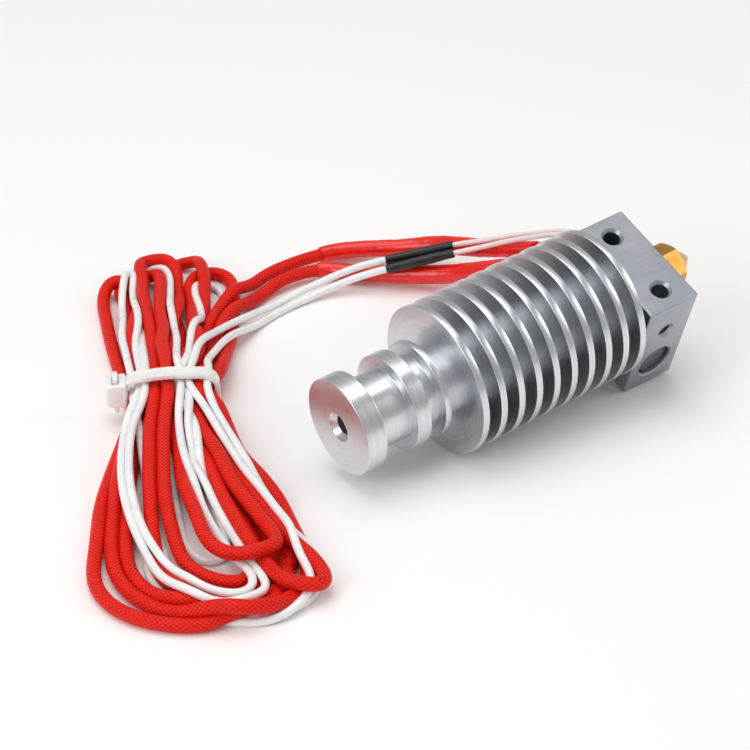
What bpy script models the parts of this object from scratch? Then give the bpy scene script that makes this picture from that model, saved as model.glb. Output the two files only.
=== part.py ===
"""A 3D printer's all-metal hot end, lying on a table beside its coiled leads.

A turned aluminium heat sink carries a thin steel heat break, an aluminium heater block and a
brass nozzle. Two red braided heater leads and two white sensor leads come out of the block's far
side, pass through shrink sleeves and end in a hank that a cable tie holds together.

The hot end is drawn along its own axis: "along" is measured in mm from the front face of its
mounting collar towards the nozzle. The block's own frame has +Y towards the side that the leads
leave and +Z out of the face with the two screw holes. Route points are in mm on the table, from
the point below the centre of that front face.
"""

import math

import bmesh
import bpy
from mathutils import Euler, Matrix, Vector

MM = 0.001
ROUND = 40                      # sides of a turned piece
SMALL_ROUND = 24                # sides of a small hole or screw

# How the hot end lies: it stands on the rim of its first big fin and one corner of the block.
PITCH = math.radians(5.66)      # the nozzle end is higher
ROLL = math.radians(21.7)       # the side with the leads is higher
CENTRE_HEIGHT = 10.63           # height of the front face's centre above the table
FRONT_X = -34.69                # that centre, from the middle of the hot end's footprint
FRONT_Y = -0.40

# Heat sink
COLLAR_R = 8.0                  # 16 mm mounting collar
GROOVE_R = 6.0                  # 12 mm mounting groove
COLLAR_END = 3.5
GROOVE_END = 9.3
COLLAR2_END = 11.9
NECK_R = 6.0
SMALL_FIN = (14.6, 15.75)
FIN_R = 12.5
FIN_FIRST = 18.4
FIN_PITCH = 3.49
FIN_THICK = 1.2
FIN_COUNT = 10
CORE_R = 7.0
EDGE = 0.15                     # broken edges of the collars' rims
BORE_R = 1.6
BORE_MOUTH_R = 2.4
BORE_MOUTH_DEPTH = 0.9
SOCKET_R = 3.6                  # socket of the heat break
SOCKET_START = 36.0
SINK_END = FIN_FIRST + (FIN_COUNT - 1) * FIN_PITCH + FIN_THICK

# Heater block: its faces, in mm along, across (+Y is the leads' side) and up
BLOCK_X = (52.1, 62.0)
BLOCK_Y = (-10.7, 9.3)
BLOCK_Z = (-12.9, 7.1)
BLOCK_EDGE = 0.3
BLOCK_MID = sum(BLOCK_X) / 2
BLOCK_BORE_R = 3.0
CARTRIDGE_HOLE_R = 3.1
CARTRIDGE_Z = -7.4
SENSOR_HOLE_R = 1.15
SENSOR_HOLE_DEPTH = 5.0
SENSOR_Z = 0.5
SCREW_HOLE_R = 1.4
SCREW_HOLE_MOUTH_R = 1.85
SCREW_HOLES_Y = (5.5, -7.0)
SCREW_HOLE_DEPTH = 5.6
CLAMP_Y = -0.7                  # the screw below that holds the cartridge

# Heat break and nozzle
BREAK_TOP_R = 3.5
BREAK_NECK_R = 1.45
THREAD_R = 2.9                  # M6, in the block's bore
BREAK_BORE_R = 1.0
BREAK_START = 36.3
BREAK_NECK = (50.9, 52.4)
BREAK_END = 57.0
NOZZLE_START = 57.3
HEX = (62.5, 67.5)              # hexagon of the nozzle
HEX_FLATS = 7.0
NOZZLE_TIP = 70.5
NOZZLE_TIP_R = 0.5
NOZZLE_HOLE_R = 0.2

# Heater cartridge, sensor and grub screws
SHEATH_R = 3.0
SHEATH_WALL = 0.35
SHEATH_Y = (-9.9, 9.3)
CORE_PLUG_Y = (-9.3, 9.0)
BEAD_R = 0.8
BEAD_LONG = 1.25
BEAD_Y = 5.9
GRUB_R = 1.25
GRUB_LONG = 2.2
GRUB_SOCKET_FLATS = 1.3
GRUB_SOCKET_DEPTH = 1.2
SENSOR_GRUB_Z = 1.95            # its lower end
CLAMP_GRUB_Z = -12.85

# Leads
RED_R = 1.1
WHITE_R = 0.65
HEATER_LEAD_R = 0.9
SENSOR_LEAD_R = 0.45
RED_SLEEVE_R = 1.7
RED_SLEEVE_WALL = 0.35
BLACK_SLEEVE_R = 0.9
BLACK_SLEEVE_WALL = 0.16
SPLICE_R = (0.95, 0.5)
SPLICE_LONG = (9.0, 5.0)
BUTT_GAP = 0.3
HEATER_STEP = 4.0               # spacing of a lead's points
SENSOR_STEP = 2.6

# The heater leads' routes: the lead to its sleeve, the sleeve, and on to the block.
RED_A = [(3.4, 46.0, 3.6), (7.8, 50.4, 3.1), (14.6, 55.0, 2.4), (22.6, 58.6, 2.1), (30.5, 60.2, 2.0)]
SLEEVE_A = [(38.0, 60.0, 2.0), (43.4, 57.9, 2.2), (50.0, 52.3, 3.0), (54.7, 46.6, 4.5),
            (57.6, 38.7, 6.5), (58.8, 31.5, 9.0), (58.9, 24.8, 11.9)]
RED_B = [(2.6, 41.8, 3.4), (8.0, 47.2, 2.8), (14.6, 51.6, 2.2), (21.4, 54.9, 2.0), (28.0, 56.4, 2.0)]
SLEEVE_B = [(34.4, 55.6, 2.0), (38.8, 51.6, 2.0), (44.9, 45.4, 2.3), (50.4, 38.8, 3.5),
            (53.6, 32.0, 6.4), (54.6, 25.0, 10.2)]
# The sensor leads' routes, in the same three stretches, and their bends to the block.
WHITE_A = [(-0.8, 39.8, 6.2), (4.1, 43.4, 5.6), (9.9, 46.3, 4.6), (16.2, 48.9, 3.2), (21.8, 50.6, 2.3),
           (27.8, 51.1, 2.0), (33.6, 50.4, 3.1), (38.6, 48.8, 4.4)]
BLACK_A = [(42.8, 46.8, 5.2), (48.1, 43.6, 6.4), (52.7, 40.3, 7.9)]
WHITE_B = [(1.2, 38.2, 5.0), (5.4, 41.8, 4.4), (10.6, 44.6, 3.4), (16.2, 47.4, 1.9), (21.6, 49.2, 1.0),
           (27.4, 49.9, 0.8), (33.2, 49.2, 1.9), (37.9, 47.3, 3.4)]
BLACK_B = [(41.7, 45.1, 4.5), (47.0, 41.9, 5.9), (51.6, 38.6, 7.4)]
BEND_A = [(55.8, 36.2, 9.6), (58.4, 31.2, 11.9), (59.2, 25.0, 14.9), (58.4, 17.8, 18.6)]
BEND_B = [(54.8, 35.2, 9.0), (56.8, 30.6, 11.5), (57.2, 24.4, 14.9), (57.0, 17.6, 18.4)]

# The hank: its outline on the table, its waist and the tie round it
HANK_OUTLINE = [
    (2.0, 73.6), (5.0, 76.6), (11.0, 78.3), (17.0, 77.8), (21.4, 74.6), (22.4, 69.6), (19.6, 62.8),
    (11.8, 56.8), (3.4, 48.8), (-1.6, 41.0), (-3.9, 34.2), (-5.3, 27.6), (-5.8, 18.0), (-6.6, 8.0),
    (-8.2, -2.0), (-11.0, -12.0), (-14.2, -18.8), (-19.4, -22.4), (-27.0, -23.6), (-36.0, -22.6),
    (-42.6, -19.0), (-46.8, -12.6), (-47.0, -4.6), (-44.0, 4.4), (-38.0, 12.6), (-29.6, 21.2),
    (-20.4, 29.4), (-15.0, 35.4), (-12.6, 42.4), (-10.4, 50.0), (-7.4, 58.0), (-4.2, 66.2),
    (-1.0, 70.8),
]
HANK_HIGH = 7.0
HANK_EDGE = 1.4
WAIST = (-10.3, 32.25)
WAIST_TURN = math.radians(-29.0)  # the tie's long side, from +X
STRAP_WIDE = 2.6
STRAP_THICK = 0.9
STRAP_INNER = (14.0, 6.0)
STRAP_LOW = 0.3
TIE_HEAD = (3.4, 4.4, 4.2)
RECESS_HIGH = 1.8


def clear_scene():
    for old in list(bpy.data.objects):
        bpy.data.objects.remove(old, do_unlink=True)


clear_scene()
scene = bpy.context.scene
parts = bpy.data.collections.new("hot_end")
cutters = bpy.data.collections.new("cutters")
scene.collection.children.link(parts)
scene.collection.children.link(cutters)


def material(name, colour, roughness, metallic=0.0):
    made = bpy.data.materials.new(name)
    made.use_nodes = True
    shader = made.node_tree.nodes["Principled BSDF"]
    shader.inputs["Base Color"].default_value = (*colour, 1.0)
    shader.inputs["Roughness"].default_value = roughness
    shader.inputs["Metallic"].default_value = metallic
    made.diffuse_color = (*colour, 1.0)
    return made


ALUMINIUM = material("turned_aluminium", (0.80, 0.80, 0.82), 0.28, 1.0)
MILLED = material("milled_aluminium", (0.56, 0.57, 0.59), 0.45, 1.0)
STEEL = material("stainless_steel", (0.66, 0.66, 0.67), 0.32, 1.0)
BRASS = material("brass", (0.80, 0.52, 0.18), 0.30, 1.0)
SHEATH = material("cartridge_steel", (0.40, 0.40, 0.42), 0.40, 1.0)
CERAMIC = material("ceramic", (0.86, 0.84, 0.78), 0.75)
GLASS = material("sensor_glass", (0.55, 0.30, 0.12), 0.15)
BLACK_STEEL = material("black_steel", (0.05, 0.05, 0.055), 0.35, 1.0)
RED_BRAID = material("red_braid", (0.80, 0.03, 0.02), 0.55)
RED_SLEEVE = material("red_shrink", (0.78, 0.02, 0.015), 0.30)
WHITE_LEAD = material("white_insulation", (0.90, 0.90, 0.88), 0.30)
PALE_LEAD = material("pale_insulation", (0.88, 0.80, 0.78), 0.40)
BLACK_SHRINK = material("black_shrink", (0.018, 0.018, 0.02), 0.45)
COPPER = material("tinned_copper", (0.74, 0.72, 0.70), 0.35, 1.0)
NYLON = material("natural_nylon", (0.88, 0.87, 0.84), 0.35)

# Everything stands under one empty on the table; the tilted empty carries the hot end itself.
root = bpy.data.objects.new("hot_end_footprint", None)
root.location = (FRONT_X * MM, FRONT_Y * MM, 0)
parts.objects.link(root)
tilt = bpy.data.objects.new("hot_end_axis", None)
tilt.parent = root
tilt.location = (0, 0, CENTRE_HEIGHT * MM)
tilt.rotation_euler = (ROLL, -PITCH, 0)
parts.objects.link(tilt)
ON_TABLE = Matrix.Translation((0, 0, CENTRE_HEIGHT)) @ Euler((ROLL, -PITCH, 0)).to_matrix().to_4x4()


def on_table(along, across, up):
    """A point of the block's frame, as mm on the table."""
    return tuple(ON_TABLE @ Vector((along, across, up)))


def place(obj, parent, mat=None, location=(0, 0, 0), rotation=(0, 0, 0)):
    """Puts an object in its collection, under its parent; an object with no material is a cutter."""
    obj.parent = parent
    obj.location = Vector(location) * MM
    obj.rotation_euler = rotation
    if mat is None:
        cutters.objects.link(obj)
        obj.hide_render = True
        obj.display_type = "WIRE"
    else:
        parts.objects.link(obj)
        obj.data.materials.append(mat)
    return obj


def mesh_object(name, bm):
    mesh = bpy.data.meshes.new(name)
    bm.to_mesh(mesh)
    bm.free()
    return bpy.data.objects.new(name, mesh)


def cut(obj, other, operation="DIFFERENCE"):
    modifier = obj.modifiers.new(other.name, "BOOLEAN")
    modifier.operation = operation
    modifier.object = other
    modifier.solver = "EXACT"


ALONG_X = (0, math.radians(90), 0)      # local +Z becomes the hot end's axis
ALONG_Y = (math.radians(-90), 0, 0)     # local +Z becomes +Y of the block
ALONG_MINUS_Y = (math.radians(90), 0, 0)


def turned(name, profile, mat, location=(0, 0, 0), rotation=ALONG_X, steps=ROUND, closed=True):
    """A turned piece from (radius, height) points, down its outer side and back up its bore."""
    bm = bmesh.new()
    points = [bm.verts.new((r * MM, 0, z * MM)) for r, z in profile]
    pairs = list(zip(points, points[1:]))
    if closed:
        pairs.append((points[-1], points[0]))
    for a, b in pairs:
        bm.edges.new((a, b))
    obj = mesh_object(name, bm)
    screw = obj.modifiers.new("turn", "SCREW")
    screw.steps = screw.render_steps = steps
    screw.use_merge_vertices = True
    screw.merge_threshold = 1e-6
    screw.use_smooth_shade = True
    return place(obj, tilt, mat, location, rotation)


def rim(radius, start, end):
    """The outer points of a disc with broken edges, from its far end to its near end."""
    return [(radius - EDGE, end), (radius, end - EDGE), (radius, start + EDGE), (radius - EDGE, start)]


def heat_sink():
    profile = [(SOCKET_R, SINK_END)]
    for k in reversed(range(FIN_COUNT)):
        start = FIN_FIRST + k * FIN_PITCH
        profile += [(FIN_R, start + FIN_THICK), (FIN_R, start)]
        if k:
            profile += [(CORE_R, start), (CORE_R, start - FIN_PITCH + FIN_THICK)]
    profile += [(NECK_R, FIN_FIRST), (NECK_R, SMALL_FIN[1])]
    profile += rim(COLLAR_R, *SMALL_FIN)
    profile += [(NECK_R, SMALL_FIN[0]), (NECK_R, COLLAR2_END)]
    profile += rim(COLLAR_R, GROOVE_END, COLLAR2_END)
    profile += [(GROOVE_R, GROOVE_END), (GROOVE_R, COLLAR_END)]
    profile += rim(COLLAR_R, 0, COLLAR_END)
    profile += [(BORE_MOUTH_R, 0), (BORE_R, BORE_MOUTH_DEPTH), (BORE_R, SOCKET_START),
                (SOCKET_R, SOCKET_START)]
    return turned("heatsink", profile, ALUMINIUM)


def heat_break():
    near, far = BREAK_NECK
    return turned("heat_break", [
        (THREAD_R, BREAK_END), (THREAD_R, far), (BREAK_NECK_R, far), (BREAK_NECK_R, near),
        (BREAK_TOP_R, near), (BREAK_TOP_R, BREAK_START), (BREAK_BORE_R, BREAK_START),
        (BREAK_BORE_R, BREAK_END)], STEEL)


def hole(name, location, rotation, radius, depth, mouth_r=None, steps=SMALL_ROUND):
    """A cutter whose +Z leaves the part: a round hole with a chamfered mouth at its location."""
    profile = [(0, 1.0), (mouth_r or radius, 1.0), (mouth_r or radius, 0)]
    if mouth_r:
        profile.append((radius, radius - mouth_r))
    profile += [(radius, -depth), (0, -depth)]
    return turned(name, profile, None, location, rotation, steps, closed=False)


def heater_block():
    size = [b - a for a, b in (BLOCK_X, BLOCK_Y, BLOCK_Z)]
    middle = [(a + b) / 2 for a, b in (BLOCK_X, BLOCK_Y, BLOCK_Z)]
    bm = bmesh.new()
    bmesh.ops.create_cube(bm, size=MM)
    bmesh.ops.scale(bm, vec=size, verts=bm.verts)
    block = place(mesh_object("heater_block", bm), tilt, MILLED, middle)
    bevel = block.modifiers.new("edges", "BEVEL")
    bevel.width = BLOCK_EDGE * MM
    bevel.segments = 2
    top, low = BLOCK_Z[1], BLOCK_Z[0]
    long_y = BLOCK_Y[1] - BLOCK_Y[0]
    bores = [
        hole("cut_bore", (BLOCK_X[1], 0, 0), ALONG_X, BLOCK_BORE_R, size[0] + 1, steps=ROUND),
        hole("cut_cartridge", (BLOCK_MID, BLOCK_Y[1], CARTRIDGE_Z), ALONG_Y, CARTRIDGE_HOLE_R,
             long_y + 1, steps=ROUND),
        hole("cut_sensor", (BLOCK_MID, BLOCK_Y[1], SENSOR_Z), ALONG_Y, SENSOR_HOLE_R,
             SENSOR_HOLE_DEPTH, SENSOR_HOLE_R + 0.25),
        hole("cut_sensor_spare", (BLOCK_MID, BLOCK_Y[0], SENSOR_Z), ALONG_MINUS_Y, SENSOR_HOLE_R,
             SENSOR_HOLE_DEPTH, SENSOR_HOLE_R + 0.25),
        hole("cut_clamp", (BLOCK_MID, CLAMP_Y, low), (math.radians(180), 0, 0), SCREW_HOLE_R,
             CARTRIDGE_Z - low - 2.0),
    ]
    for i, y in enumerate(SCREW_HOLES_Y):
        bores.append(hole(f"cut_screw_{i}", (BLOCK_MID, y, top), (0, 0, 0), SCREW_HOLE_R,
                          SCREW_HOLE_DEPTH, SCREW_HOLE_MOUTH_R))
    for other in bores:
        cut(block, other)
    return block


def hexagon(name, flats, start, end, mat, location=(0, 0, 0), rotation=ALONG_X):
    bm = bmesh.new()
    bmesh.ops.create_cone(bm, cap_ends=True, segments=6, radius1=flats / math.sqrt(3) * MM,
                          radius2=flats / math.sqrt(3) * MM, depth=(end - start) * MM)
    bmesh.ops.translate(bm, verts=bm.verts, vec=(0, 0, (start + end) / 2 * MM))
    return place(mesh_object(name, bm), tilt, mat, location, rotation)


def nozzle():
    """Threaded shank, hexagon with a chamfered end, and cone, bored through to a fine hole."""
    start, end = HEX
    corner = HEX_FLATS / math.sqrt(3)
    body = turned("nozzle", [
        (0, NOZZLE_TIP), (NOZZLE_TIP_R, NOZZLE_TIP), (3.0, end), (3.0, start + 1), (2.5, start - 0.6),
        (THREAD_R, start - 1.0), (THREAD_R, NOZZLE_START), (0, NOZZLE_START)], BRASS, closed=False)
    envelope = turned("cut_hex_ends", [
        (0, end), (HEX_FLATS / 2 - 0.05, end), (corner + 0.1, end - 0.45), (corner + 0.1, start + 0.3),
        (HEX_FLATS / 2, start), (0, start)], None, closed=False)
    hexed = hexagon("cut_hex", HEX_FLATS, start - 0.5, end + 0.5, None)
    cut(hexed, envelope, "INTERSECT")
    cut(body, hexed, "UNION")
    bore = turned("cut_nozzle_bore", [
        (0, NOZZLE_TIP + 1), (NOZZLE_HOLE_R, NOZZLE_TIP + 1), (NOZZLE_HOLE_R, NOZZLE_TIP - 0.8),
        (BREAK_BORE_R, NOZZLE_TIP - 2.2), (BREAK_BORE_R, NOZZLE_START - 1), (0, NOZZLE_START - 1)],
        None, closed=False, steps=SMALL_ROUND)
    cut(body, bore)
    return body


def cartridge():
    """A steel sheath, closed at the near side, round a ceramic core that the leads leave."""
    near, far = SHEATH_Y
    inner = SHEATH_R - SHEATH_WALL
    floor = CORE_PLUG_Y[0] - 0.2
    turned("cartridge_sheath", [
        (inner, far), (SHEATH_R, far), (SHEATH_R, near + 0.2), (SHEATH_R - 0.2, near), (0, near)]
        + [(0, floor), (inner, floor)][::1], SHEATH, (BLOCK_MID, 0, CARTRIDGE_Z), ALONG_Y)
    core_r = inner - 0.12
    turned("cartridge_core", [
        (0, CORE_PLUG_Y[1]), (core_r, CORE_PLUG_Y[1]), (core_r, CORE_PLUG_Y[0]), (0, CORE_PLUG_Y[0])],
        CERAMIC, (BLOCK_MID, 0, CARTRIDGE_Z), ALONG_Y, closed=False)


def sensor_bead():
    bm = bmesh.new()
    bmesh.ops.create_uvsphere(bm, u_segments=16, v_segments=10, radius=BEAD_R * MM)
    bmesh.ops.scale(bm, vec=(1, BEAD_LONG / BEAD_R, 1), verts=bm.verts)
    bead = place(mesh_object("thermistor_bead", bm), tilt, GLASS, (BLOCK_MID, BEAD_Y, SENSOR_Z))
    bead.data.shade_smooth()


def grub_screw(name, location, rotation):
    """A short screw with a hexagon socket in its upper end, standing on its location."""
    screw = turned(name, [
        (0, GRUB_LONG), (GRUB_R - 0.2, GRUB_LONG), (GRUB_R, GRUB_LONG - 0.2), (GRUB_R, 0.3),
        (GRUB_R - 0.3, 0), (0, 0)], BLACK_STEEL, location, rotation, SMALL_ROUND, closed=False)
    socket = hexagon("cut_socket_" + name, GRUB_SOCKET_FLATS, GRUB_LONG - GRUB_SOCKET_DEPTH,
                     GRUB_LONG + 1, None, location, rotation)
    cut(screw, socket)
    return screw


def smooth_route(points, per_span=24):
    """A Catmull-Rom curve through the points, and the distance along it at each of them."""
    p = [Vector(q) for q in points]
    p = [2 * p[0] - p[1], *p, 2 * p[-1] - p[-2]]
    line, marks, run = [p[1].copy()], [0.0], 0.0
    for i in range(1, len(p) - 2):
        a, b, c, d = p[i - 1:i + 3]
        for k in range(1, per_span + 1):
            t = k / per_span
            q = 0.5 * (2 * b + (c - a) * t + (2 * a - 5 * b + 4 * c - d) * t ** 2
                       + (3 * b - a - 3 * c + d) * t ** 3)
            run += (q - line[-1]).length
            line.append(q)
        marks.append(run)
    return line, marks


def stretch(line, start, end, spacing):
    """Points of the line from one distance along it to another, at whole multiples of the spacing.

    A wire and the sleeve round it share those points, so they bend alike.
    """
    along = [0.0]
    for a, b in zip(line, line[1:]):
        along.append(along[-1] + (b - a).length)
    first, last = math.ceil((start + 0.3) / spacing), math.floor((end - 0.3) / spacing)
    stations = [start, *(k * spacing for k in range(first, last + 1)), end]
    found, i = [], 0
    for s in stations:
        while i < len(along) - 2 and along[i + 1] < s:
            i += 1
        t = (s - along[i]) / max(along[i + 1] - along[i], 1e-9)
        found.append(line[i].lerp(line[i + 1], t))
    return found


def tube_curve(name, points, radius, caps):
    curve = bpy.data.curves.new(name, "CURVE")
    curve.dimensions = "3D"
    curve.bevel_depth = radius * MM
    curve.bevel_resolution = 2
    curve.use_fill_caps = caps
    spline = curve.splines.new("POLY")
    spline.points.add(len(points) - 1)
    for point, q in zip(spline.points, points):
        point.co = (*(q * MM), 1)
    return bpy.data.objects.new(name, curve)


def wire(name, line, start, end, radius, mat, spacing):
    """A solid round wire along part of a route."""
    points = stretch(line, start, end, spacing)
    return place(tube_curve(name, points, radius, True), root, mat)


def sleeve(name, line, start, end, radius, wall, mat, spacing):
    """A hollow sleeve along part of a route: an open tube given its wall by Solidify."""
    points = stretch(line, start, end, spacing)
    guide = place(tube_curve("guide_" + name, points, radius, False), root)
    bpy.context.view_layer.update()
    evaluated = guide.evaluated_get(bpy.context.evaluated_depsgraph_get())
    mesh = bpy.data.meshes.new_from_object(evaluated)
    bpy.data.objects.remove(guide, do_unlink=True)
    mesh.materials.clear()
    obj = place(bpy.data.objects.new(name, mesh), root, mat)
    solid = obj.modifiers.new("wall", "SOLIDIFY")
    solid.thickness = wall * MM
    solid.offset = -1
    solid.use_even_offset = True
    return obj


def heater_lead(tag, lead, over, block_x):
    """One red lead from the hank, its splice in the sleeve, and the lead on to the cartridge."""
    mouth = [on_table(block_x, y, CARTRIDGE_Z) for y in (16.0, CORE_PLUG_Y[1] + BUTT_GAP)]
    line, marks = smooth_route([*lead, *over, *mouth])
    sleeve_start, sleeve_end = marks[len(lead)], marks[len(lead) + len(over) - 1]
    joint = sleeve_start + 14.0
    splice_end = joint + SPLICE_LONG[0]
    wire(f"heater_lead_red_{tag}", line, 0, joint, RED_R, RED_BRAID, HEATER_STEP)
    wire(f"heater_splice_{tag}", line, joint + BUTT_GAP, splice_end, SPLICE_R[0], COPPER, HEATER_STEP)
    wire(f"cartridge_lead_{tag}", line, splice_end + BUTT_GAP, marks[-1], HEATER_LEAD_R, RED_BRAID,
         HEATER_STEP)
    sleeve(f"red_sleeve_{tag}", line, sleeve_start, sleeve_end, RED_SLEEVE_R, RED_SLEEVE_WALL,
           RED_SLEEVE, HEATER_STEP)


def sensor_lead(tag, lead, over, bend, bead_x):
    """One white lead from the hank, its splice in the black sleeve, and the fine lead to the bead."""
    mouth = [on_table(bead_x, y, SENSOR_Z) for y in (11.8, BEAD_Y + BEAD_LONG + BUTT_GAP)]
    line, marks = smooth_route([*lead, *over, *bend, *mouth])
    sleeve_start, sleeve_end = marks[len(lead)], marks[len(lead) + len(over) - 1]
    joint = sleeve_start + 4.0
    splice_end = joint + SPLICE_LONG[1]
    wire(f"sensor_lead_white_{tag}", line, 0, joint, WHITE_R, WHITE_LEAD, SENSOR_STEP)
    wire(f"sensor_splice_{tag}", line, joint + BUTT_GAP, splice_end, SPLICE_R[1], COPPER, SENSOR_STEP)
    wire(f"thermistor_lead_{tag}", line, splice_end + BUTT_GAP, marks[-1], SENSOR_LEAD_R, PALE_LEAD,
         SENSOR_STEP)
    sleeve(f"black_sleeve_{tag}", line, sleeve_start, sleeve_end, BLACK_SLEEVE_R,
           BLACK_SLEEVE_WALL, BLACK_SHRINK, SENSOR_STEP)


def hank():
    """The outer shape of the tied hank: its outline with rounded edges, recessed for the strap."""
    curve = bpy.data.curves.new("hank_outline", "CURVE")
    curve.dimensions = "2D"
    curve.fill_mode = "BOTH"
    curve.resolution_u = 3
    curve.extrude = (HANK_HIGH / 2 - HANK_EDGE) * MM
    curve.bevel_depth = HANK_EDGE * MM
    curve.bevel_resolution = 1
    curve.offset = -HANK_EDGE * MM
    spline = curve.splines.new("BEZIER")
    spline.bezier_points.add(len(HANK_OUTLINE) - 1)
    spline.use_cyclic_u = True
    for point, (x, y) in zip(spline.bezier_points, HANK_OUTLINE):
        point.co = (x * MM, y * MM, 0)
        point.handle_left_type = point.handle_right_type = "AUTO"
    guide = place(bpy.data.objects.new("guide_hank", curve), root)
    bpy.context.view_layer.update()
    evaluated = guide.evaluated_get(bpy.context.evaluated_depsgraph_get())
    mesh = bpy.data.meshes.new_from_object(evaluated)
    bpy.data.objects.remove(guide, do_unlink=True)
    bm = bmesh.new()
    bm.from_mesh(mesh)
    bmesh.ops.remove_doubles(bm, verts=bm.verts, dist=1e-6)
    bmesh.ops.recalc_face_normals(bm, faces=bm.faces)
    bm.to_mesh(mesh)
    bm.free()
    mesh.materials.clear()
    coil = place(bpy.data.objects.new("lead_hank", mesh), root, RED_BRAID, (0, 0, HANK_HIGH / 2))
    bm = bmesh.new()
    bmesh.ops.create_cube(bm, size=MM)
    bmesh.ops.scale(bm, vec=(30, STRAP_WIDE + 0.8, 2 * RECESS_HIGH), verts=bm.verts)
    cut(coil, place(mesh_object("cut_recess", bm), root, None, (*WAIST, 0), (0, 0, WAIST_TURN)))
    return coil


def rounded_loop(curve, wide, high, radius, middle, per_corner=4):
    spline = curve.splines.new("POLY")
    points = []
    for corner in range(4):
        sx, sy = ((1, 1), (-1, 1), (-1, -1), (1, -1))[corner]
        for k in range(per_corner + 1):
            a = math.radians(90 * (corner + k / per_corner))
            points.append((sx * (wide / 2 - radius) + radius * math.cos(a),
                           sy * (high / 2 - radius) + radius * math.sin(a) + middle))
    spline.points.add(len(points) - 1)
    spline.use_cyclic_u = True
    for point, (x, y) in zip(spline.points, points):
        point.co = (x * MM, y * MM, 0, 1)


def cable_tie():
    """A strap round the hank's waist with its ratchet head at the outer side."""
    wide, high = STRAP_INNER
    middle = STRAP_LOW + STRAP_THICK + high / 2
    curve = bpy.data.curves.new("strap", "CURVE")
    curve.dimensions = "2D"
    curve.fill_mode = "BOTH"
    curve.extrude = STRAP_WIDE / 2 * MM
    rounded_loop(curve, wide + 2 * STRAP_THICK, high + 2 * STRAP_THICK, 2.3, middle)
    rounded_loop(curve, wide, high, 1.3, middle)
    guide = place(bpy.data.objects.new("guide_strap", curve), root)
    bpy.context.view_layer.update()
    evaluated = guide.evaluated_get(bpy.context.evaluated_depsgraph_get())
    mesh = bpy.data.meshes.new_from_object(evaluated)
    bpy.data.objects.remove(guide, do_unlink=True)
    bm = bmesh.new()
    bm.from_mesh(mesh)
    bmesh.ops.remove_doubles(bm, verts=bm.verts, dist=1e-6)
    bmesh.ops.recalc_face_normals(bm, faces=bm.faces)
    bm.to_mesh(mesh)
    bm.free()
    mesh.materials.clear()
    stand = (math.radians(90), 0, WAIST_TURN)
    tie = place(bpy.data.objects.new("cable_tie", mesh), root, NYLON, (*WAIST, 0), stand)
    bm = bmesh.new()
    bmesh.ops.create_cube(bm, size=MM)
    bmesh.ops.scale(bm, vec=TIE_HEAD, verts=bm.verts)
    bmesh.ops.bevel(bm, geom=bm.edges[:], offset=0.4 * MM, segments=1, affect="EDGES")
    out = wide / 2 + 0.15 + TIE_HEAD[0] / 2
    turn = Matrix.Rotation(WAIST_TURN, 3, "Z")
    spot = Vector((*WAIST, middle + 1.2)) + turn @ Vector((-out, 0, 0))
    head = place(mesh_object("cut_tie_head", bm), root, None, spot, stand)
    cut(tie, head, "UNION")
    return tie


heat_sink()
heat_break()
heater_block()
nozzle()
cartridge()
sensor_bead()
grub_screw("sensor_grub_screw", (BLOCK_MID, SCREW_HOLES_Y[0], SENSOR_GRUB_Z), (0, 0, 0))
grub_screw("cartridge_grub_screw", (BLOCK_MID, CLAMP_Y, CLAMP_GRUB_Z + GRUB_LONG),
           (math.radians(180), 0, 0))
heater_lead("a", RED_A, SLEEVE_A, BLOCK_MID + 1.25)
heater_lead("b", RED_B, SLEEVE_B, BLOCK_MID - 1.25)
sensor_lead("a", WHITE_A, BLACK_A, BEND_A, BLOCK_MID + 0.55)
sensor_lead("b", WHITE_B, BLACK_B, BEND_B, BLOCK_MID - 0.55)
hank()
cable_tie()

for obj in parts.objects:
    if obj.type == "MESH" and not obj.modifiers.get("turn"):
        obj.data.set_sharp_from_angle(angle=math.radians(30))
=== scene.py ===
"""Looks for the all-metal hot end and its hank of leads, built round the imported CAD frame.

Lengths are in millimetres until a mesh or curve is made, except the lights' and the floor's, which
are in metres. The hot end's pieces are drawn along its own axis and stood in place by HOT_END;
everything else is drawn on the table.
"""

import math
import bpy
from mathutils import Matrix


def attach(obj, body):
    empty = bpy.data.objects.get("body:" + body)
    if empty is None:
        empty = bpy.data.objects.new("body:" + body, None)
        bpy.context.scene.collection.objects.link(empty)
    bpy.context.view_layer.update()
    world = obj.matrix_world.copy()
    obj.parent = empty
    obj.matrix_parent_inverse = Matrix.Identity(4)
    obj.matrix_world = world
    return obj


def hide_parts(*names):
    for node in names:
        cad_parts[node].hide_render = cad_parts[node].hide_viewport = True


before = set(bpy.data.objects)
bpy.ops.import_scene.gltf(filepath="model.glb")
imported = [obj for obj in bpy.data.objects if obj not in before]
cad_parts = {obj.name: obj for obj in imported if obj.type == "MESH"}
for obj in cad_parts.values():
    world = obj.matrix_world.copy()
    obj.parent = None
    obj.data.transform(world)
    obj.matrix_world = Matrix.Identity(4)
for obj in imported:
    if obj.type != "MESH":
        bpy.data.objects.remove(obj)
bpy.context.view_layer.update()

from types import SimpleNamespace

import bmesh
import bpy
import numpy as np
from mathutils import Euler, Matrix, Vector

MM = 0.001
ROOT = "hot_end"                # the body that everything fixed rides on

# How the hot end lies on the table
PITCH = math.radians(5.66)
ROLL = math.radians(21.7)
CENTRE_HEIGHT = 10.63
FRONT = (-34.69, -0.40)         # the point below the centre of its front face; routes start here
TILT = Euler((ROLL, -PITCH, 0)).to_matrix().to_4x4()
HOT_END = Matrix.Translation((FRONT[0] * MM, FRONT[1] * MM, CENTRE_HEIGHT * MM)) @ TILT
ON_TABLE = Matrix.Translation((0, 0, CENTRE_HEIGHT)) @ TILT

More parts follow.
